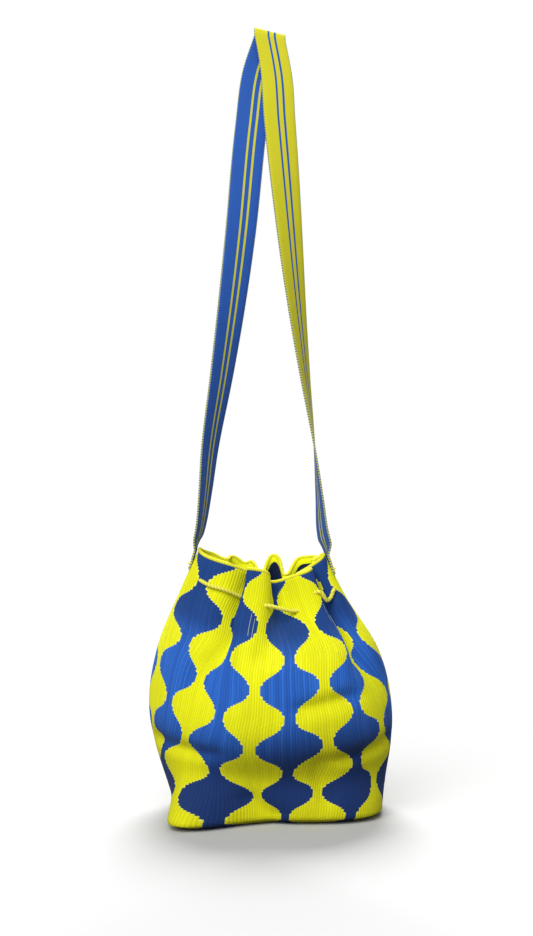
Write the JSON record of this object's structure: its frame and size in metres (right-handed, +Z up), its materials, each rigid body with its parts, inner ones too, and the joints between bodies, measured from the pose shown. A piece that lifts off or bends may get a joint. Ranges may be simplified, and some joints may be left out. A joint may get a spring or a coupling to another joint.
{
  "type": "drawstring bucket bag",
  "caption": "Soft woven drawstring bucket bag with a gathered, bound mouth and one long narrow shoulder strap, standing on its base.",
  "frame": {"origin": "middle of the bag's footprint, on the floor under its base", "axes": "+Z up through the mouth and the strap, +X towards the strap's right end, -Y towards the viewer of the front"},
  "size_m": [0.2588, 0.2296, 0.8372],
  "materials": {
    "weave": "ribbed cotton weave in cobalt blue and lemon yellow",
    "binding": "rolled yellow cotton edge",
    "cord": "twisted yellow cotton cord",
    "band": "woven band, yellow outside and blue inside, with thin stripes",
    "thread": "matt yellow thread"
  },
  "bodies": {
    "root": {"woven_body": "weave", "rim_binding": "binding", "drawstring": "cord", "drawstring_knot": "cord", "strap": "band", "left_lashing": "thread", "right_lashing": "thread"}
  },
  "joints": []
}
